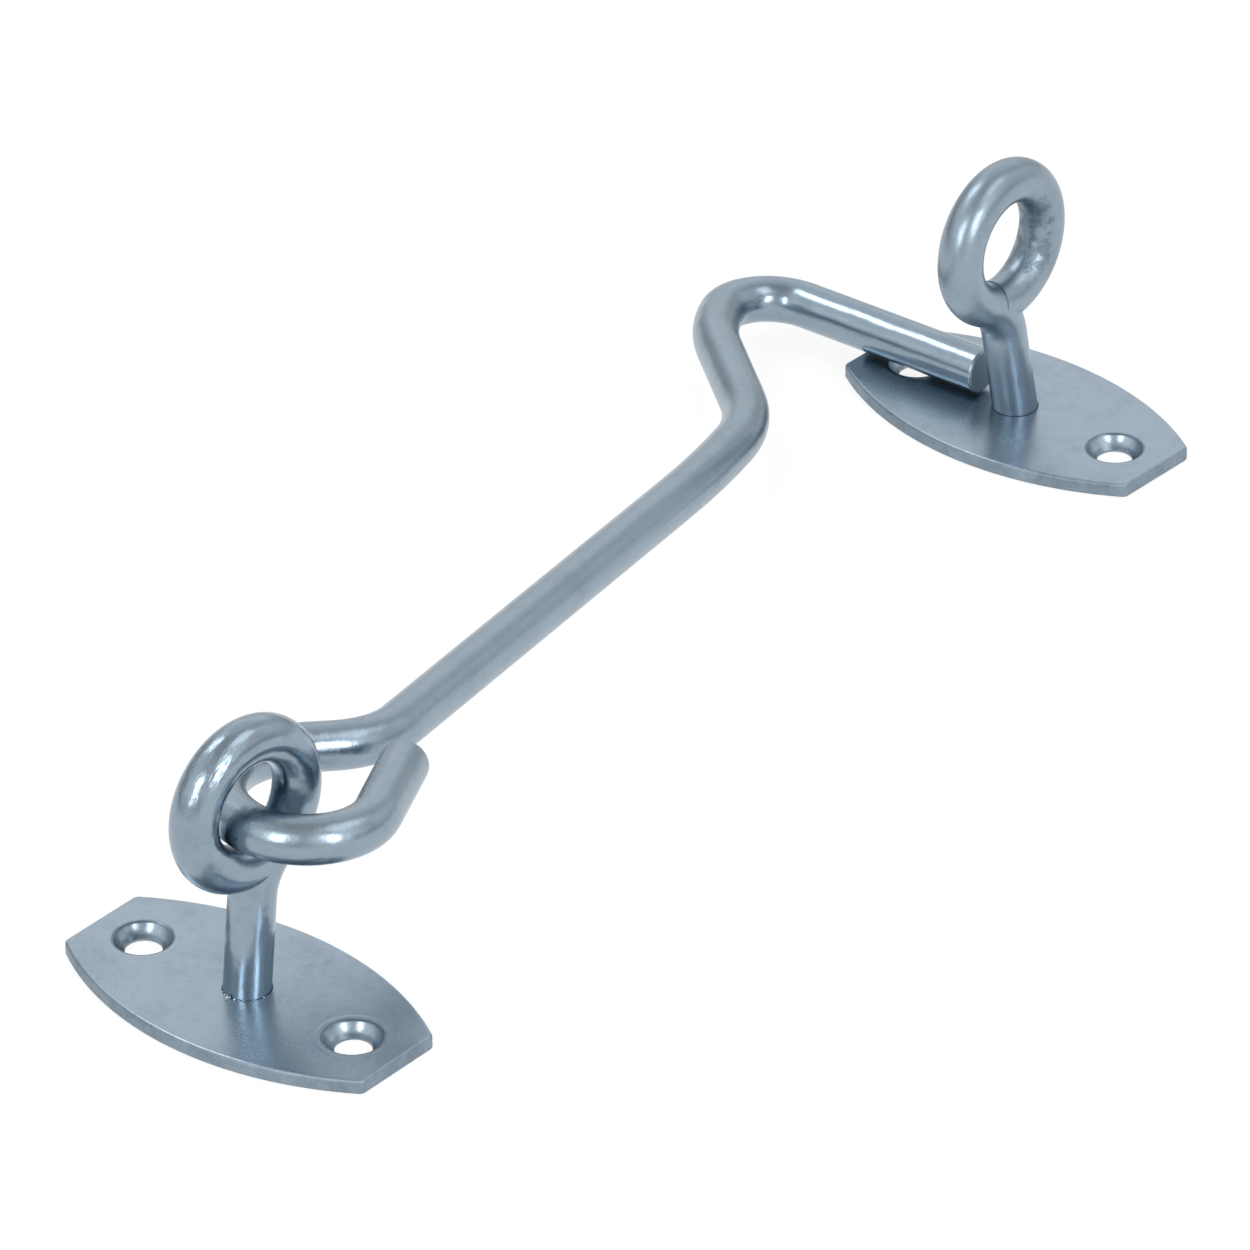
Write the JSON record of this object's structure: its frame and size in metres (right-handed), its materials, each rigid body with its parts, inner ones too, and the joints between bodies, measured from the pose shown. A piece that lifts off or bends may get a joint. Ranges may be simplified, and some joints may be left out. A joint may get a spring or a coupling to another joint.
{
  "type": "cabin hook",
  "caption": "Round-rod hook whose bent ring is linked through an eye on a small screw plate, with a matching eye plate that its tip fastens to.",
  "frame": {"origin": "centre of the front plate, on its back face", "axes": "+X from the front plate towards the catch plate, +Y along the front plate's length, +Z out of the plates"},
  "size_m": [0.2002, 0.0851, 0.0407],
  "materials": {
    "plate_zinc": "satin zinc plating, finely brushed, slightly blue",
    "eye_zinc": "bright zinc plating, slightly blue",
    "hook_zinc": "bright zinc plating, slightly blue"
  },
  "bodies": {
    "eye_plates": {"front_plate": "plate_zinc", "front_eye": "eye_zinc", "catch_plate": "plate_zinc", "catch_eye": "eye_zinc"},
    "hook": {"hook": "hook_zinc"}
  },
  "joints": [
    {"name": "hook_swing", "type": "hinge", "parent": "eye_plates", "child": "hook", "pos_m": [0.00088, -0.00006, 0.02873], "axis": [-0.068, -0.9977, 0], "range_deg": [0, 180]}
  ]
}
